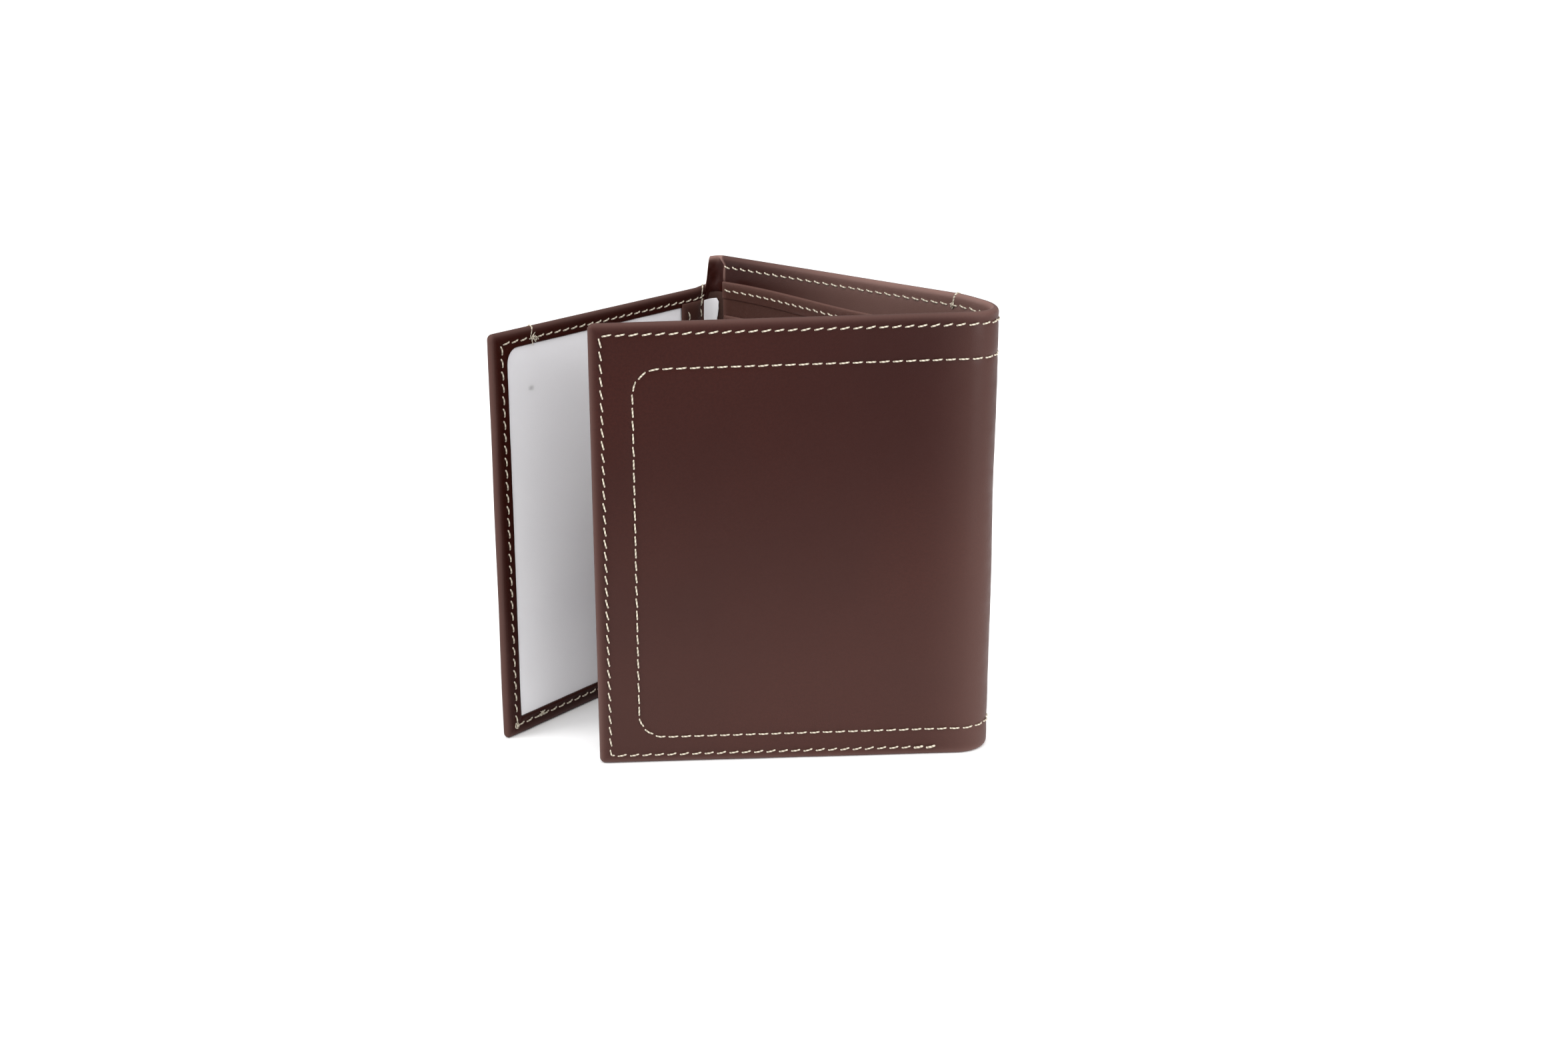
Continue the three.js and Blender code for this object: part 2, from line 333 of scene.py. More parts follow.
def leather(name, deep, light, worn, roughness, grain):
    """Dyed calf leather: cloudy colour, fine grain, creases, and a paler rolled edge; the same pale colour
    also paints light and sheen.
    """
    n = Nodes(name)
    clouds = n.span(n.noise(16.0, 3.0, 0.5), 0.3, 0.7)
    speckle = n.span(n.noise(1500.0, 2.0, 0.6), 0.4, 0.62, 0.0, 0.5)
    colour = n.mix(clouds, deep, light)
    colour = n.mix(speckle, colour, deep)
    # The mesh attribute pales the leather for worn rims and also for painted light: a paler foot and a
    # painted sheen inside the top hem.
    colour = n.mix(n.attribute("wear"), colour, worn)
    n.join(colour, n.shader.inputs["Base Color"])
    cells = n.add("TexVoronoi", Scale=2600.0, Randomness=1.0)
    n.join(n.coordinates(), cells.inputs["Vector"])
    pebbles = n.bump(n.span(cells.outputs["Distance"], 0.0, 0.7), 0.35 * grain, 0.00006)
    creases = n.bump(n.noise(620.0, 5.0, 0.62), 0.30 * grain, 0.00012, pebbles)
    n.join(n.bump(n.noise(90.0, 3.0, 0.5), 0.12, 0.0005, creases), n.shader.inputs["Normal"])
    n.join(n.span(n.noise(240.0, 3.0, 0.5), 0.3, 0.7, roughness - 0.06, roughness + 0.08),
           n.shader.inputs["Roughness"])
    n.shader.inputs["Specular IOR Level"].default_value = 0.12
    return n.material


def thread(name, pale, shaded):
    """Waxed two-ply thread: the twist shows as slanted bands."""
    n = Nodes(name)
    split = n.add("SeparateXYZ")
    n.join(n.coordinates(), split.inputs[0])
    twist = n.add("Math", operation="ADD")
    n.join(split.outputs["X"], twist.inputs[0])
    n.join(split.outputs["Y"], twist.inputs[1])
    phase = n.add("Math", operation="MULTIPLY")
    phase.inputs[1].default_value = 2 * math.pi
    n.join(twist.outputs[0], phase.inputs[0])
    wave = n.add("Math", operation="SINE")
    n.join(phase.outputs[0], wave.inputs[0])
    ply = n.span(wave.outputs[0], -1.0, 0.6)
    n.join(n.mix(ply, shaded, pale), n.shader.inputs["Base Color"])
    n.join(n.bump(ply, 0.5, 0.00008), n.shader.inputs["Normal"])
    n.shader.inputs["Roughness"].default_value = 0.62
    n.shader.inputs["Specular IOR Level"].default_value = 0.3
    return n.material


def white_sheet(name, tone, shade, dirt):
    """White vinyl: faint clouds and creases, and grey where it is soiled."""
    n = Nodes(name)
    clouds = n.span(n.noise(20.0, 3.0, 0.5), 0.35, 0.7)
    colour = n.mix(n.attribute("wear"), n.mix(clouds, tone, shade), dirt)
    n.join(colour, n.shader.inputs["Base Color"])
    fine = n.bump(n.noise(1300.0, 2.0, 0.5), 0.02, 0.00003)
    n.join(n.bump(n.noise(60.0, 2.0, 0.5), 0.06, 0.0006, fine), n.shader.inputs["Normal"])
    n.shader.inputs["Roughness"].default_value = 0.48
    n.shader.inputs["Specular IOR Level"].default_value = 0.35
    return n.material


def clear_sheet(name):
    """Thin clear vinyl over the white: it only adds a soft gloss."""
    n = Nodes(name)
    n.shader.inputs["Base Color"].default_value = (0.95, 0.95, 0.97, 1)
    n.shader.inputs["Alpha"].default_value = 0.16
    n.join(n.span(n.noise(150.0, 2.0, 0.5), 0.3, 0.7, 0.40, 0.52), n.shader.inputs["Roughness"])
    n.join(n.bump(n.noise(40.0, 2.0, 0.5), 0.04, 0.001), n.shader.inputs["Normal"])
    return n.material


def board_stock(name):
    """Grey-brown card that stiffens the panels: flecked and matt."""
    n = Nodes(name)
    n.join(n.mix(n.span(n.noise(900.0, 2.0), 0.4, 0.6), linear(142, 134, 120), linear(110, 102, 90)),
           n.shader.inputs["Base Color"])
    n.join(n.bump(n.noise(1400.0, 2.0), 0.3, 0.00005), n.shader.inputs["Normal"])
    n.shader.inputs["Roughness"].default_value = 0.9
    return n.material


def ground(name):
    """The pale, matt floor."""
    n = Nodes(name)
    n.shader.inputs["Base Color"].default_value = (0.93, 0.93, 0.93, 1)
    n.shader.inputs["Roughness"].default_value = 0.8
    n.shader.inputs["Specular IOR Level"].default_value = 0.1
    return n.material


SHELL_LEATHER = leather("shell_leather", deep=linear(39, 10, 6), light=linear(48, 16, 10),
                        worn=linear(128, 99, 92), roughness=0.44, grain=0.5)
INNER_LEATHER = leather("inner_leather", deep=linear(58, 34, 28), light=linear(74, 48, 42),
                        worn=linear(126, 94, 86), roughness=0.44, grain=0.6)
LINING_LEATHER = leather("lining_leather", deep=linear(62, 42, 36), light=linear(76, 54, 48),
                         worn=linear(96, 74, 68), roughness=0.55, grain=0.8)
CREAM_THREAD = thread("cream_thread", pale=linear(204, 195, 178), shaded=linear(146, 136, 119))
WHITE_VINYL = white_sheet("white_vinyl", tone=linear(246, 245, 247), shade=linear(238, 237, 240),
                          dirt=linear(120, 116, 112))
CLEAR_VINYL = clear_sheet("clear_vinyl")
BOARD = board_stock("stiffening_board")

# ---------------------------------------------------------------- mesh building


def add_object(name, data, location=(0, 0, 0), rotation=(0, 0, 0)):
    """An object in the scene, placed in metres and radians."""
    obj = bpy.data.objects.new(name, data)
    obj.location = location
    obj.rotation_euler = rotation
    bpy.context.scene.collection.objects.link(obj)
    return obj


def make_object(name, points, faces, corner_uvs, material, wear=None):
    """A smooth mesh object from points in millimetres, its faces and each face corner's UV."""
    mesh = bpy.data.meshes.new(name)
    mesh.from_pydata((np.asarray(points) * MM).tolist(), [], faces)
    mesh.uv_layers.new(name="Cut").data.foreach_set("uv", np.asarray(corner_uvs, np.float32).ravel())
    # Per point paleness: wear and dirt, and painted light.
    worn = mesh.attributes.new("wear", "FLOAT", "POINT")
    worn.data.foreach_set("value", np.asarray(np.zeros(len(points)) if wear is None else wear, np.float32))
    mesh.polygons.foreach_set("use_smooth", [True] * len(mesh.polygons))
    mesh.materials.append(material)
    mesh.update()
    return add_object(name, mesh)


def grid_lines(low, high, rolled_low, rolled_high, roll, fine):
    """Grid lines from low to high, crowded where an edge rolls over and round each place in fine."""
    lines = list(np.linspace(low, high, max(int(round((high - low) / GRID)), 1) + 1))
    for place, reach, step in fine:
        lines += list(np.arange(place - reach, place + reach + step / 2, step))
    crowd = roll * (1 - np.cos(np.linspace(0, math.pi / 2, 7)))
    lines += list(low + crowd) if rolled_low else []
    lines += list(high - crowd) if rolled_high else []
    kept = [low]
    for line in sorted(lines):
        if kept[-1] + 0.035 < line < high - 0.035:
            kept.append(line)
    return np.array(kept + [high])


def field(value, a, z):
    """A field's values at (a, z), or a constant there."""
    return value(a, z) if callable(value) else np.full(a.shape, float(value))


def round_corners(a, z, a_range, z_range, rolled, radius):
    """Grid points moved so that each corner between two rolled edges is round."""
    round_a, round_z = a.copy(), z.copy()
    for side, sign_a, centre_a in (("l", -1, a_range[0] + radius), ("r", 1, a_range[1] - radius)):
        for foot, sign_z, centre_z in (("b", -1, z_range[0] + radius), ("t", 1, z_range[1] - radius)):
            if side in rolled and foot in rolled:
                p, q = sign_a * (a - centre_a) / radius, sign_z * (z - centre_z) / radius
                inside = (p > 0) & (q > 0)
                scale = np.maximum(p, q) / np.maximum(np.hypot(p, q), 1e-9)
                round_a = np.where(inside, centre_a + sign_a * p * scale * radius, round_a)
                round_z = np.where(inside, centre_z + sign_z * q * scale * radius, round_z)
    return round_a, round_z


def slab(name, place, a_range, z_range, faces_d, material, rolled="lrtb", corner=0.0, fine_a=(),
         fine_z=(), outer=None, inner=None, worn=RIM_WEAR, fade_and_painted_light=(0.0, 0.0)):
    """A sheet between d = faces_d[0] (inner face) and faces_d[1] (outer face), with rounded edges.

    place(a, z, d) gives its points. rolled names the edges that close: l, r, t, b. outer and inner are
    fields (a, z), in millimetres, by which each face stands proud. worn is how pale the rims are, and the
    last argument how pale the rest of the outer and of the inner face is: from wear and dirt, and from
    painted light and sheen.
    """
    (a0, a1), (z0, z1) = a_range, z_range
    ends = [field(f, np.array([a0, (a0 + a1) / 2]), np.array([z1, z1])) for f in faces_d]
    roll = 0.55 * float(np.mean(ends[1] - ends[0]))
    lines_a = grid_lines(a0, a1, "l" in rolled, "r" in rolled, roll, fine_a)
    lines_z = grid_lines(z0, z1, "b" in rolled, "t" in rolled, roll, fine_z)
    a, z = np.meshgrid(lines_a, lines_z, indexing="ij")
    gaps = {"l": a - a0, "r": a1 - a, "b": z - z0, "t": z1 - z}
    edge = np.min([gaps[side] for side in rolled], axis=0) if rolled else np.full(a.shape, 99.0)
    shape = np.sqrt(1 - (1 - np.clip(edge / roll, 0, 1)) ** 2)
    if corner:
        a, z = round_corners(a, z, a_range, z_range, rolled, corner)
    inside, outside = field(faces_d[0], a, z), field(faces_d[1], a, z)
    middle, half = (inside + outside) / 2, (outside - inside) / 2
    out_points = place(a, z, middle + shape * (half + (outer(a, z) if outer else 0)))
    in_points = place(a, z, middle - shape * (half + (inner(a, z) if inner else 0)))
    open_part = edge > 1e-9
    out_index = np.arange(a.size).reshape(a.shape)
    in_index = out_index.copy()
    in_index[open_part] = a.size + np.arange(open_part.sum())
    points = np.concatenate([out_points.reshape(-1, 3), in_points[open_part]])
    rim = field(worn, a, z) * np.exp(-(edge / 1.1) ** 2)
    # Besides rim wear, the fields add painted light: paler towards the foot and a painted sheen on the inner
    # hem.
    out_wear, in_wear = rim + field(fade_and_painted_light[0], a, z), rim + field(fade_and_painted_light[1], a, z)
    wear = np.concatenate([out_wear.ravel(), in_wear[open_part]])
    faces, corner_uvs = [], []
    for index, corners, v in ((out_index, ((0, 0), (0, 1), (1, 1), (1, 0)), z),
                              (in_index, ((0, 0), (1, 0), (1, 1), (0, 1)), 2 * z1 - z)):
        cut = [(slice(i, a.shape[0] - 1 + i), slice(j, a.shape[1] - 1 + j)) for i, j in corners]
        faces += np.stack([index[c].ravel() for c in cut], -1).tolist()
        uvs = [np.stack([a[c].ravel(), v[c].ravel()], -1) for c in cut]
        corner_uvs.append(np.stack(uvs, 1).reshape(-1, 2))
    return make_object(name, points, faces, np.concatenate(corner_uvs) * MM, material, wear)


def undulation(amount, size, seed):
    """A slow, soft unevenness, as in hand-made leather."""
    def relief(a, z):
        values = [noise.noise(Vector((x / size, y / size, seed))) for x, y in zip(a.ravel(), z.ravel())]
        return amount * np.array(values).reshape(a.shape)
    return relief


def total(*reliefs):
    """The sum of several reliefs, as one."""
    return lambda a, z: sum(relief(a, z) for relief in reliefs)


# ---------------------------------------------------------------- seams


STITCH_STEPS = (1 - np.cos(math.pi * np.linspace(0, 1, 11))) / 2


class Seam:
    """A row of stitches on a sheet: its line, and where each stitch starts and ends."""

    def __init__(self, corners, pitch, share, radius=0.5):
        self.line = self.rounded(corners, radius)
        lengths = np.concatenate([[0], np.cumsum(np.linalg.norm(np.diff(self.line, axis=0), axis=1))])
        count = max(int(round(lengths[-1] / pitch)), 1)
        self.pitch = lengths[-1] / count
        middles = (np.arange(count) + 0.5) * self.pitch
        along = middles[:, None] + share * self.pitch * (STITCH_STEPS - 0.5)
        self.stitches = np.stack([np.interp(along, lengths, self.line[:, k]) for k in (0, 1)], -1)

    @staticmethod
    def rounded(corners, radius):
        """Closely spaced points along the corners' path, with its right angles rounded."""
        corners = [np.array(c, float) for c in corners]
        points = [corners[0]]
        for before, corner, after in zip(corners, corners[1:], corners[2:]):
            start = corner + radius * (before - corner) / np.linalg.norm(before - corner)
            end = corner + radius * (after - corner) / np.linalg.norm(after - corner)
            centre = start + end - corner
            points += [centre + math.cos(t) * (start - centre) + math.sin(t) * (end - centre)
                       for t in np.linspace(0, math.pi / 2, 10)]
        points.append(corners[-1])
        line = [points[0]]
        for p, q in zip(points, points[1:]):
            count = max(int(np.linalg.norm(q - p) / 0.4), 1)
            line += [p + (q - p) * (i + 1) / count for i in range(count)]
        return np.array(line)


def dents(centres, reach, width, depth, pile):
    """Relief of round dents at centres: pile adds them up, else the deepest counts."""
    def relief(a, z):
        flat_a, flat_z = a.ravel(), z.ravel()
        order = np.argsort(flat_a)
        ranked = flat_a[order]
        values = np.zeros(flat_a.size)
        for ca, cz in centres:
            chosen = order[slice(*np.searchsorted(ranked, [ca - reach, ca + reach]))]
            chosen = chosen[np.abs(flat_z[chosen] - cz) < reach]
            bell = np.exp(-((flat_a[chosen] - ca) ** 2 + (flat_z[chosen] - cz) ** 2) / (2 * width ** 2))
            values[chosen] = values[chosen] + bell if pile else np.maximum(values[chosen], bell)
        return -depth * values.reshape(a.shape)
    return relief


def pulled_in(seams):
    """What seams do to a face: a needle hole at each stitch end, and a groove along the row."""
    holes = np.concatenate([s.stitches[:, (0, -1)].reshape(-1, 2) for s in seams])
    lines = np.concatenate([s.line for s in seams])
    return total(dents(holes, 1.2, 0.34, 0.13, True), dents(lines, 2.4, 0.75, 0.10, False))


def seam_lines(seams):
    """Where a sheet's grid has to be fine for its seams: (place, reach, step) along a and along z."""
    fine_a, fine_z = set(), set()
    for seam in seams:
        for p, q in zip(seam.line, seam.line[1:]):
            if abs(p[0] - q[0]) < 1e-6:
                fine_a.add((round(p[0], 3), 1.25, FINE))
            if abs(p[1] - q[1]) < 1e-6:
                fine_z.add((round(p[1], 3), 1.25, FINE))
    return sorted(fine_a), sorted(fine_z)


def tube(path, radii, sides):
    """Rings of points round path, an (n, 3) array, with a radius at each of its points."""
    tangent = np.gradient(path, axis=0)
    tangent /= np.linalg.norm(tangent, axis=1)[:, None]
    side = np.cross(tangent, (0.13, 0.31, 0.94))
    side /= np.linalg.norm(side, axis=1)[:, None]
    up = np.cross(side, tangent)
    angle = np.arange(sides) * 2 * math.pi / sides
    ring = np.cos(angle)[None, :, None] * side[:, None] + np.sin(angle)[None, :, None] * up[:, None]
    return path[:, None] + ring * np.asarray(radii)[:, None, None]


def threads(name, paths, radius=THREAD_RADIUS, sides=8):
    """One object of many short threads, each round its own path in millimetres, with tapered ends."""
    points, faces, corner_uvs, base = [], [], [], 0
    for path in paths:
        count = len(path)
        taper = np.sqrt(np.clip(1 - np.linspace(-1, 1, count) ** 8, 0.04, 1))
        points.append(tube(path, radius * taper, sides).reshape(-1, 3))
        steps = np.linalg.norm(np.diff(path, axis=0), axis=1)
        length = np.concatenate([[0], np.cumsum(steps)]) / 0.9
        for i in range(count - 1):
            for k in range(sides):
                n = (k + 1) % sides
                faces.append([base + i * sides + k, base + i * sides + n,
                              base + (i + 1) * sides + n, base + (i + 1) * sides + k])
                low, high = k / sides, (k + 1) / sides
                near, far = length[i], length[i + 1]
                corner_uvs += [(near, low), (near, high), (far, high), (far, low)]
        faces.append([base + k for k in reversed(range(sides))])
        faces.append([base + (count - 1) * sides + k for k in range(sides)])
        corner_uvs += [(0, k / sides) for k in range(sides)] + [(length[-1], k / sides) for k in range(sides)]
        base += count * sides
    obj = make_object(name, np.concatenate(points), faces, corner_uvs, CREAM_THREAD)
    return obj


def stitch_paths(place, stitches, face, seed, outward=1, turn=1):
    """Paths of the stitches that lie on the face d = face, each dipping into its two needle holes.

    outward is the side that the face looks to. Seen from there, turn 1 slants them counter-clockwise
    and turn 0 leaves them in line.
    """
    random = np.random.default_rng(seed)
    arch = np.sin(math.pi * STITCH_STEPS) ** 0.5
    paths = []
    for stitch in stitches:
        along = stitch[-1] - stitch[0]
        across = outward * np.array([along[1], -along[0]])
        slant = SLANT * turn + random.normal(0, 0.015)
        flat = stitch + across * slant * (2 * STITCH_STEPS[:, None] - 1)
        rise = -0.28 + (0.42 + random.normal(0, 0.02)) * arch
        paths.append(place(flat[:, 0], flat[:, 1], face + outward * rise))
    return paths


# ---------------------------------------------------------------- the shell


def place_left(a, z, d):
    """As LEFT.place, with a top that slopes down over the spine to the flap's height."""
    past = (-np.asarray(a) - LEFT.start - DROP_START) / (LEFT.arc / 2 - DROP_START)
    drop = (SHELL_HEIGHT - INNER_HEIGHT) * smooth(past) * (np.asarray(z) / SHELL_HEIGHT) ** 6
    return LEFT.place(a, z - drop, d)


def ramp(gap, width=0.07):
    """0 to 1 where gap turns positive: the cut edge of a sheet that lies on another."""
    return 1 / (1 + np.exp(-np.clip(gap / width, -30, 30)))


FRONT_EDGE = RIGHT.at_panel(FRONT_WIDTH)
FLAP_EDGE = LEFT.at_panel(FLAP_WIDTH)
HEM_FOOT = SHELL_HEIGHT - TOP_HEM
HEM_STEP = (0.3, 0.06)


def shell_inside(a, z):
    """Inner face of the shell's leather: thick where it is turned over at the rims."""
    turned = np.maximum(ramp(z - HEM_FOOT), ramp(RIM_TURN - z))
    turned = np.maximum(turned, ramp(a - (FRONT_EDGE - RIM_TURN)))
    return LEATHER_INSIDE - (LEATHER_INSIDE - HEM_FACE) * turned


def left_outside(a, z):
    """Outer face of the leather from the centre to the flap, which is thinner."""
    return OUTER_FACE + (FLAP_OUTSIDE - OUTER_FACE) * LEFT.turned(a)


def left_inside(a, z):
    """As shell_inside, from the centre to the flap."""
    turned = np.maximum(ramp(z - HEM_FOOT), ramp(RIM_TURN - z))
    hem = HEM_FACE + (FLAP_HEM_FACE - HEM_FACE) * LEFT.turned(a)
    return LEATHER_INSIDE - (LEATHER_INSIDE - hem) * turned


SEAM_Z = SHELL_HEIGHT - EDGE_SEAM
PANEL_Z = SHELL_HEIGHT - PANEL_SEAM_TOP

edge_seam = Seam([(0, SEAM_Z), (FRONT_EDGE - EDGE_SEAM, SEAM_Z), (FRONT_EDGE - EDGE_SEAM, FOOT_SEAM),
                  (RIGHT.at_panel(BACK_TACK), FOOT_SEAM)], EDGE_PITCH, EDGE_STITCH)
panel_seam = Seam([(0, PANEL_Z), (FRONT_EDGE - PANEL_SEAM_SIDE, PANEL_Z),
                   (FRONT_EDGE - PANEL_SEAM_SIDE, PANEL_SEAM_FOOT), (0, PANEL_SEAM_FOOT)],
                  PANEL_PITCH, PANEL_STITCH, PANEL_SEAM_RADIUS)
foot_seam = Seam([(0, FOOT_SEAM), (CENTRE_HALF - BACK_TACK, FOOT_SEAM)],
                 EDGE_PITCH, EDGE_STITCH)
RIGHT_RIMS = [edge_seam, foot_seam]
RIGHT_SEAMS = RIGHT_RIMS + [panel_seam]

back_seam_end = 0.4 - CENTRE_HALF
back_panel_side = PANEL_SEAM_SIDE - CENTRE_HALF
back_top_seam = Seam([(0, SEAM_Z), (back_seam_end, SEAM_Z)], EDGE_PITCH, EDGE_STITCH)
back_foot_seam = Seam([(0, FOOT_SEAM), (back_seam_end, FOOT_SEAM)], EDGE_PITCH, EDGE_STITCH)
back_panel_seam = Seam([(0, PANEL_Z), (back_panel_side, PANEL_Z),
                        (back_panel_side, PANEL_SEAM_FOOT), (0, PANEL_SEAM_FOOT)],
                       PANEL_PITCH, PANEL_STITCH, PANEL_SEAM_RADIUS)
LEFT_RIMS = [back_top_seam, back_foot_seam]
LEFT_SEAMS = LEFT_RIMS + [back_panel_seam]


def raw_edge(a, z):
    """1 on the painted cut edge of the back's hem, which shows beside the left fold."""
    below = SHELL_HEIGHT - z
    line = -LEFT.start - 0.6 + np.minimum(below, 2.0)
    return np.exp(-((a - line) / 0.35) ** 2) * smooth((7.0 - below) / 1.5)


def crumple(a, z):
    """The leather is gathered where the shell's top slopes down to the flap."""
    near = smooth((0.4 - LEFT.start - a) / 1.5) * between(z, 93, 101)
    return near * undulation(0.7, 2.2, 70.0)(a, z) + 0.25 * raw_edge(a, z)


def fold_wear_and_painted_foot_light(a, z):
    """The leather is paler where it has been bent, and painted paler towards its foot: painted light from the
    floor's bounce.
    """
    bent = 0.18 * np.exp(-((a - RIGHT.middle) / 10) ** 2)
    # painted light: paler towards the foot, standing in for light bounced from the floor
    return bent + 0.12 * (1 - between(z, 0, 95))


def painted_hem_sheen_and_raw_edge(a, z):
    """Inside, the leather turned over at the top is painted paler, more so to the right, as a painted sheen
    of light; its cut edge is painted.
    """
    # painted sheen: the top hem inside is paler towards the right, where light falls on it
    painted_sheen = 0.55 * ramp(z - HEM_FOOT + 0.3) * smooth((a + CENTRE_HALF) / 62)
    return painted_sheen + 0.8 * raw_edge(a, z)


def painted(a, z):
    """How pale the rims are: most of all on the painted edge beside the left fold."""
    return RIM_WEAR + 0.6 * smooth((1.0 - LEFT.start - a) / 2.5) * between(z, 90, 98)


def shell_piece(name, place, a_range, faces_d, seams, rolled, corner=0.0, extra=(), extra_fine=(),
                worn=RIM_WEAR):
    """A piece of the outer leather. The first of its seams shows inside as well."""
    fine_a, fine_z = seam_lines(seams)
    fine_a += [*extra_fine, (FRONT_EDGE - RIM_TURN, *HEM_STEP)]
    fine_z += [(HEM_FOOT, *HEM_STEP), (RIM_TURN, *HEM_STEP)]
    outer = total(pulled_in(seams), undulation(0.22, 26.0, 1.0), undulation(0.05, 5.0, 4.0), *extra)
    inner = total(pulled_in(seams[:1]), undulation(0.08, 9.0, 6.0), *extra)
    # The shell is painted paler towards its foot and with a sheen inside the top hem: painted light.
    skin = slab(name, place, a_range, (0, SHELL_HEIGHT), faces_d, SHELL_LEATHER, rolled, corner,
                fine_a, fine_z, outer, inner, worn, (fold_wear_and_painted_foot_light, painted_hem_sheen_and_raw_edge))
    return skin


def build_shell():
    """The outer leather: two pieces for each fold, which meet at the middle of its spine."""
    centre_right = shell_piece("centre_leather_right", RIGHT.place, (0, RIGHT.middle),
                               (shell_inside, OUTER_FACE), RIGHT_SEAMS, "tb")
    bend_right(centre_right)
    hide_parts("centre_outer_leather", "centre_top_hem")
    front = shell_piece("front_leather", RIGHT.place, (RIGHT.middle, FRONT_EDGE),
                        (shell_inside, OUTER_FACE), RIGHT_SEAMS, "rtb", CORNER_RADIUS)
    bend_right(front)
    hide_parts("front_outer_leather", "front_top_hem", "right_spine_leather")
    centre_left = shell_piece("centre_leather_left", place_left, (LEFT.middle, 0),
                              (left_inside, left_outside), LEFT_SEAMS, "tb", extra=[crumple],
                              extra_fine=[(LEFT.middle + 0.7, 0.9, 0.08), (0.4 - LEFT.start, 1.8, 0.15)],
                              worn=painted)
    bend_left(centre_left)
    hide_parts("left_spine_leather")


def within(seams, low, high):
    """The stitches of the seams whose middle lies between low and high along a."""
    stitches = np.concatenate([s.stitches for s in seams])
    middle = stitches[:, :, 0].mean(1)
    return stitches[(middle >= low) & (middle < high)]


def shell_threads(name, place, rims, panel, top, low, high, seed):
    """The stitches of one piece of the shell: rims and panel rows outside, the top row inside as well."""
    paths = stitch_paths(place, within(rims, low, high), OUTER_FACE, seed)
    paths += stitch_paths(place, within([panel], low, high), OUTER_FACE, seed + 1, 1, PANEL_TURN)
    paths += stitch_paths(place, within([top], low, high), HEM_FACE, seed + 2, -1, -1)
    return threads(name, paths)


def build_shell_threads():
    """The stitches of the outer leather, split like the pieces that they are in."""
    centre = shell_threads("centre_stitches_right", RIGHT.place, RIGHT_RIMS, panel_seam, edge_seam,
                           0, RIGHT.middle, 11)
    bend_right(centre)
    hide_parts("centre_top_seam_thread", "centre_foot_seam_thread", "centre_panel_seam_thread")
    front = shell_threads("front_stitches", RIGHT.place, RIGHT_RIMS, panel_seam, edge_seam,
                          RIGHT.middle, FRONT_EDGE, 14)
    bend_right(front)
    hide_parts("front_edge_seam_thread", "front_panel_seam_thread", "right_spine_top_thread",
                "right_spine_upper_thread", "right_spine_lower_thread")
    left = shell_threads("centre_stitches_left", place_left, LEFT_RIMS, back_panel_seam, back_top_seam,
                         LEFT.middle, 0, 17)
    bend_left(left)


def build_linings():
    """Lining and stiffeners between the shell's leather and its inside."""
    foot, top = 0.8, HEM_FOOT + 1.0
    relief = undulation(0.05, 6.0, 8.0)

    def lining(name, place, a_range, nodes=(), rolled="tb"):
        piece = slab(name, place, a_range, (foot, top), (LINING_FACE_D, LINING_BACK_D), LINING_LEATHER,
                     rolled, inner=relief)
        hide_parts(*nodes)
        return piece

    bend_right(lining("centre_lining_right", RIGHT.place, (0, RIGHT.middle), ["centre_lining"]))
    bend_right(lining("front_lining_sheet", RIGHT.place, (RIGHT.middle, FRONT_EDGE - 1.6),
                      ["front_lining", "right_spine_lining"], "rtb"))
    bend_left(lining("centre_lining_left", place_left, (LEFT.middle, 0)))
    bend_left(lining("flap_fold_lining", LEFT.place, (LEFT.at_panel(-0.5), LEFT.middle),
                     ["left_spine_lining"]))

    def board(name, place, a_range, body, node):
        piece = slab(name, place, a_range, (1.2, HEM_FOOT - 0.2), STIFFENER_D, BOARD)
        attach(piece, body)
        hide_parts(node)

    board("centre_stiffener_board", RIGHT.place, (-43.0, 41.0), "centre", "centre_stiffener")
    board("front_stiffener_board", RIGHT.place, (RIGHT.at_panel(5), FRONT_EDGE - 2.6), "front",
          "front_stiffener")


# ---------------------------------------------------------------- the card panels


def place_card(x, z, d):
    """On the card panel of the centre: it is sewn down at its foot and stands off the wall above."""
    x, z, d = np.broadcast_arrays(np.asarray(x, float), z, d)
    bow = CARD_BOW * between(x, -38, 22) * (1 - 0.9 * between(x, 24, 42))
    stand = 0.1 + 0.9 * between(z, 0, 95)
    return np.stack([x, LINING_FACE + d - bow * stand, z], -1)


def turned_lip(edge):
    """Relief of a sheet that is turned over above z = edge."""
    return lambda a, z: LIP * ramp(z - edge)


def pocketed(prefix, place, a_range, top, pockets, back, relief_seed):
    """A card panel and its pockets, each a thin sheet with a turned-over lip: returns the pieces."""
    foot = 1.0
    face = back - CARD_THICKNESS
    pieces = [slab(f"{prefix}_card_sheet", place, a_range, (foot, top), (face, back), INNER_LEATHER,
                   fine_z=[(top - PANEL_HEM, *HEM_STEP), (top - INNER_SEAM, 1.25, FINE)],
                   inner=total(turned_lip(top - PANEL_HEM), undulation(0.06, 7.0, relief_seed)))]
    for i in range(pockets):
        edge = top - POCKET_DROP - i * POCKET_STEP
        face -= POCKET_GAP
        relief = total(turned_lip(edge - POCKET_HEM), undulation(0.05, 8.0, relief_seed + i + 1))
        pieces.append(slab(f"{prefix}_pocket_sheet_{i + 1}", place, (a_range[0] + 1, a_range[1] - 1),
                           (foot + 0.5, edge), (face - POCKET_THICKNESS, face), INNER_LEATHER,
                           fine_z=[(edge - POCKET_HEM, *HEM_STEP)], inner=relief, worn=0.35))
        face -= POCKET_THICKNESS
    return pieces


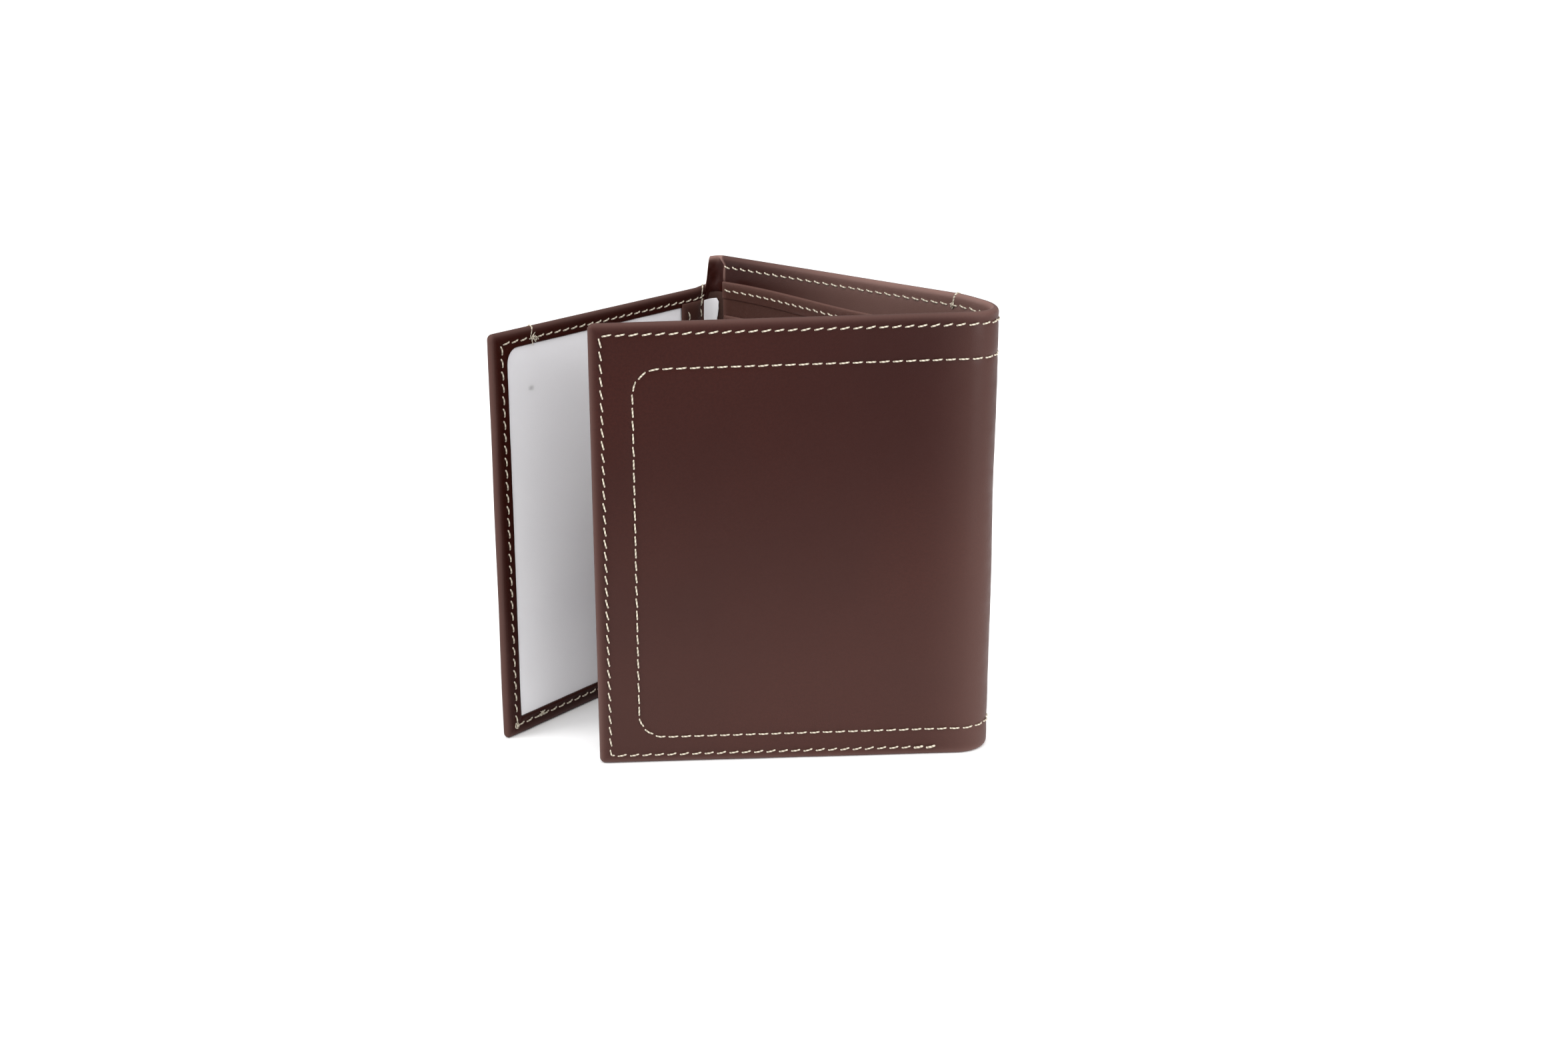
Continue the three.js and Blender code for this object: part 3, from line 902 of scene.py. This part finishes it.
def build_card_panels():
    """The card panel in front of the bill compartment, and the one inside the front."""
    top = INNER_HEIGHT + CARD_RISE
    pieces = pocketed("centre", place_card, (CARD_LEFT, CARD_RIGHT), top, 4, 0.0, 20.0)
    nodes = ["centre_card_panel", "centre_card_pocket_top", "centre_card_pocket_upper",
             "centre_card_pocket_lower", "centre_card_pocket_bottom"]
    seam_z = top - INNER_SEAM
    seam = Seam([(CARD_LEFT + 0.6, seam_z), (CARD_RIGHT - 0.6, seam_z)], EDGE_PITCH, EDGE_STITCH)
    pieces.append(threads("centre_card_stitches",
                          stitch_paths(place_card, seam.stitches, -CARD_THICKNESS - LIP, 31, -1, -1)))
    nodes.append("centre_card_panel_thread")
    for piece, node in zip(pieces, nodes):
        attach(piece, "centre")
        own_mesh(piece)
        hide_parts(node)
    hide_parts("bill_compartment_floor")
    inside = pocketed("front", RIGHT.place, (RIGHT.at_panel(6), FRONT_EDGE - 2.0), INNER_HEIGHT, 2,
                      LINING_FACE - POCKET_GAP, 40.0)
    for piece, node in zip(inside, ["front_card_panel", "front_card_pocket_top", "front_card_pocket_bottom"]):
        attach(piece, "front")
        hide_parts(node)


# ---------------------------------------------------------------- the window flap


WINDOW_END = LEFT.at_panel(FLAP_WIDTH - FLAP_END_HEM)
WINDOW_FOOT = FLAP_HEM
WINDOW_TOP = INNER_HEIGHT - FLAP_HEM


def window_gap(a, z):
    """How far a point lies inside the window's opening, whose top free corner is rounded."""
    from_end = a - WINDOW_END
    from_top = WINDOW_TOP - z
    corner = WINDOW_RADIUS - np.hypot(np.maximum(WINDOW_RADIUS - from_end, 0),
                                      np.maximum(WINDOW_RADIUS - from_top, 0))
    return np.minimum(np.where((from_end < WINDOW_RADIUS) & (from_top < WINDOW_RADIUS), corner,
                               np.minimum(from_end, from_top)), z - WINDOW_FOOT)


def flap_inside(a, z):
    """Inner face of the flap's leather: its hems lie on it round the window."""
    turned = ramp(-window_gap(a, z), 0.1)
    hem = HEM_FACE + (FLAP_HEM_FACE - HEM_FACE) * LEFT.turned(a)
    return FLAP_INSIDE + (hem - FLAP_INSIDE) * turned


def ragged(amount, edge_a, reach):
    """A place on the flap whose edge at a = edge_a is torn unevenly."""
    def place(a, z, d):
        a = np.asarray(a, float)
        tear = [noise.noise(Vector((v / 3.0, 0.5, 7.0))) + 0.5 * noise.noise(Vector((v / 0.9, 0.5, 3.0)))
                for v in np.asarray(z, float).ravel()]
        pull = np.clip(1 - np.abs(edge_a - a) / reach, 0, 1)
        return LEFT.place(a + amount * np.array(tear).reshape(a.shape) * pull, z, d)
    return place


def speck(a, z):
    """A spot of dirt on the window's white sheet."""
    u, height = SPECK
    return 0.6 * np.exp(-(((a - LEFT.at_panel(u)) / 0.9) ** 2 + ((z - height) / 0.6) ** 2))


flap_seam_end = LEFT.at_panel(FLAP_WIDTH - FLAP_END_SEAM)
flap_seam = Seam([(LEFT.middle, INNER_HEIGHT - EDGE_SEAM), (flap_seam_end, INNER_HEIGHT - EDGE_SEAM),
                  (flap_seam_end, EDGE_SEAM), (LEFT.middle, EDGE_SEAM)], EDGE_PITCH, EDGE_STITCH)
strip_seams = [Seam([(LEFT.at_panel(u), WINDOW_FOOT + 1), (LEFT.at_panel(u), WINDOW_TOP - 1)],
                    EDGE_PITCH, EDGE_STITCH) for u in STRIP_SEAMS]


def build_flap_leather():
    """The flap's leather with its three hems, mitred at the free corners."""
    fine_a, fine_z = seam_lines([flap_seam])
    fine_a += [(WINDOW_END, *HEM_STEP), (WINDOW_END + 1, 1.2, 0.15)]
    fine_z += [(WINDOW_FOOT, *HEM_STEP), (WINDOW_TOP, *HEM_STEP), (WINDOW_TOP - 1, 1.2, 0.15)]
    steps = np.linspace(0.3, 4.0, 20)
    mitred = [(WINDOW_END - t, WINDOW_TOP + t) for t in steps]
    mitred += [(WINDOW_END - t, WINDOW_FOOT - t) for t in steps]
    inner = total(pulled_in([flap_seam]), dents(mitred, 0.8, 0.18, 0.12, False), undulation(0.10, 6.0, 51.0))
    skin = slab("flap_leather", LEFT.place, (FLAP_EDGE, LEFT.middle), (0, INNER_HEIGHT),
                (flap_inside, left_outside), SHELL_LEATHER, "ltb", CORNER_RADIUS, fine_a, fine_z,
                total(pulled_in([flap_seam]), undulation(0.22, 24.0, 50.0)), inner)
    bend_left(skin)
    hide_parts("flap_outer_leather", "flap_top_hem", "flap_foot_hem", "flap_end_hem")


def build_window():
    """The white sheet with its torn tail, the clear film on it, and the strip that holds both."""
    tail = LEFT.at_panel(STRIP_START - BACKING_TAIL)
    rise = LEFT.at_panel(STRIP_START + 1.4)
    creases = undulation(0.04, 14.0, 52.0)
    faces = [lambda a, z, d=d: d - TAIL_LIFT * smooth((a - rise) / 1.2) for d in BACKING_D]
    backing = slab("flap_white_sheet", ragged(0.7, tail, 2.0), (LEFT.at_panel(FLAP_WIDTH - 2.0), tail),
                   (2.0, INNER_HEIGHT - FLAP_HEM + 0.4), faces, WHITE_VINYL,
                   fine_a=[(tail - 1, 1, 0.2), (LEFT.at_panel(SPECK[0]), 2, 0.25)],
                   fine_z=[(SPECK[1], 1.5, 0.25)], inner=creases, worn=0, fade_and_painted_light=(0.0, speck))
    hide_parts("flap_backing")
    bend_left(backing)
    film = slab("flap_clear_sheet", LEFT.place, (LEFT.at_panel(FLAP_WIDTH - 4), LEFT.at_panel(STRIP_END - 2)),
                (3.5, INNER_HEIGHT - 3.5), FILM_D, CLEAR_VINYL, inner=creases, worn=0)
    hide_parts("flap_window_film")
    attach(film, "flap")
    fine_a, _ = seam_lines(strip_seams)
    strip = slab("flap_strip", LEFT.place, (LEFT.at_panel(STRIP_END), LEFT.at_panel(STRIP_START)),
                 (FLAP_HEM - 1, INNER_HEIGHT - FLAP_HEM + 1), STRIP_D, INNER_LEATHER, fine_a=fine_a,
                 inner=total(pulled_in(strip_seams), undulation(0.08, 6.0, 53.0)))
    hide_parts("flap_window_strip")
    bend_left(strip)


def build_flap_threads():
    """The stitches of the flap's rim, on both its faces, and of the strip."""
    rim = stitch_paths(LEFT.place, flap_seam.stitches, FLAP_HEM_FACE, 54, -1)
    rim += stitch_paths(LEFT.place, flap_seam.stitches, FLAP_OUTSIDE, 55)
    strip = stitch_paths(LEFT.place, np.concatenate([s.stitches for s in strip_seams]), STRIP_D[0], 56, -1)
    rows = (("flap_rim_stitches", rim, ["flap_seam_thread"]),
            ("flap_strip_stitches", strip, ["flap_strip_fold_thread", "flap_strip_window_thread"]))
    for name, paths, nodes in rows:
        piece = threads(name, paths)
        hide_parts(*nodes)
        bend_left(piece)


# ---------------------------------------------------------------- loose ends of thread


def over_rim(place, a, height, outside, inside, drift=0.5):
    """A thread that goes over a rim, from the seam on one face to the seam on the other."""
    bare = THREAD_RADIUS * 0.7
    low = height - EDGE_SEAM
    profile = [(low, outside - 0.3), (low + 0.4, outside - 0.1), (height - 1.2, outside + 0.05),
               (height - 0.3, outside - 0.15), (height + bare, (outside + inside) / 2),
               (height - 0.3, inside + 0.2), (height - 1.1, inside + 0.05), (low + 0.5, inside + 0.2),
               (low, inside + 0.2)]
    z, d = np.array(profile).T
    steps = np.linspace(0, len(profile) - 1, 25)
    z, d = (np.interp(steps, np.arange(len(profile)), v) for v in (z, d))
    return place(a + drift * np.sin(steps / 2), z, d)


def tangle(place, a, z, face, reach, count, seed):
    """Short crossed ends of thread, tied off on the face d = face, which looks towards -d."""
    random = np.random.default_rng(seed)
    paths = []
    t = np.linspace(-1, 1, 9)
    for _ in range(count):
        angle, length = random.uniform(0.3, 2.8), reach * random.uniform(0.6, 1.1)
        bend = random.normal(0, 0.35)
        along_a = a + length * (math.cos(angle) * t + bend * (1 - t * t) * math.sin(angle))
        along_z = z + length * (math.sin(angle) * t - bend * (1 - t * t) * math.cos(angle))
        paths.append(place(along_a, along_z, face - 0.12 - random.uniform(0.05, 0.3) * (1 - t * t)))
    return paths


def build_loose_threads():
    """Threads over the rims, tied-off ends, and the doubled stitches that end the front's seam."""
    loop = over_rim(RIGHT.place, WALL_LOOP, SHELL_HEIGHT, OUTER_FACE, HEM_FACE)
    knot = tangle(RIGHT.place, WALL_LOOP - 0.3, SEAM_Z, HEM_FACE, 1.1, 3, 81)
    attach(threads("centre_rim_loop", [loop], 0.22), "centre")
    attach(threads("centre_knot", knot, 0.12), "centre")
    top, foot = INNER_HEIGHT - EDGE_SEAM, EDGE_SEAM
    loops = [over_rim(LEFT.place, LEFT.at_panel(u), INNER_HEIGHT, FLAP_OUTSIDE, FLAP_HEM_FACE)
             for u in FLAP_LOOPS]
    bend_left(threads("flap_rim_loops", loops, 0.2))
    knots = tangle(LEFT.place, LEFT.at_panel(FLAP_LOOPS[0] - 0.8), top - 0.4, FLAP_HEM_FACE, 1.5, 5, 82)
    knots += tangle(LEFT.place, LEFT.at_panel(FLAP_LOOPS[1] + 0.5), top - 1.2, FLAP_HEM_FACE, 1.2, 3, 83)
    knots += tangle(LEFT.place, flap_seam_end, foot, FLAP_HEM_FACE, 0.9, 7, 84)
    knots += tangle(LEFT.place, LEFT.at_panel(FLAP_TACK), foot + 0.3, FLAP_HEM_FACE, 1.1, 6, 85)
    bend_left(threads("flap_knots", knots, 0.13))
    doubled = stitch_paths(RIGHT.place, edge_seam.stitches[-2:], OUTER_FACE + 0.12, 86)
    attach(threads("front_back_tack", doubled, 0.27), "front")


# ---------------------------------------------------------------- floor, light and camera


FLOOR_HALF = 60.0


def softbox(name, location, target, size, power):
    """A square area light at location, turned to target."""
    light = bpy.data.lights.new(name, "AREA")
    light.size = size
    light.energy = power
    aim = Vector(target) - Vector(location)
    add_object(name, light, location, aim.to_track_quat("-Z", "Y").to_euler())


def build_studio():
    """A pale floor under an overcast sky, with a large softbox on the left and a small one on the right."""
    floor = bpy.data.meshes.new("floor")
    corners = [(x * FLOOR_HALF, y * FLOOR_HALF, 0) for x, y in ((-1, -1), (1, -1), (1, 1), (-1, 1))]
    floor.from_pydata(corners, [], [(0, 1, 2, 3)])
    floor.materials.append(ground("pale_floor"))
    add_object("floor", floor)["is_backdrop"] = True
    sky = bpy.data.lights.new("overhead", "SUN")
    sky.energy = 3.1
    sky.angle = math.radians(110)
    add_object("overhead", sky, rotation=(math.radians(12), math.radians(15), 0))
    softbox("left", (-0.6, -1.1, 0.8), (0, 0, 0.05), 0.7, 11)
    softbox("right", (0.46, 0.0, 0.16), (0.05, -0.01, 0.05), 0.2, 1.1)
    world = bpy.data.worlds.new("studio")
    world.use_nodes = True
    background = world.node_tree.nodes["Background"]
    background.inputs["Color"].default_value = (1, 1, 1, 1)
    background.inputs["Strength"].default_value = 0.40
    bpy.context.scene.world = world
    bpy.context.scene.view_settings.view_transform = "Standard"


def build_camera():
    """The photograph's view: from the right of the front, a little above."""
    camera = bpy.data.cameras.new("camera")
    camera.lens = 46.34
    camera.sensor_width = 36.0
    camera.clip_end = 200.0
    turn = (math.radians(90 - 16.58), 0, math.radians(43.0))
    bpy.context.scene.camera = add_object("camera", camera, (0.3257, -0.3721, 0.1929), turn)


build_shell()
build_shell_threads()
build_linings()
build_card_panels()
build_flap_leather()
build_window()
build_flap_threads()
build_loose_threads()
build_studio()
build_camera()

boxes = {"cad": CAD_BOX, "visual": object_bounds()}
{name: [list(corner) for corner in box] for name, box in boxes.items()}
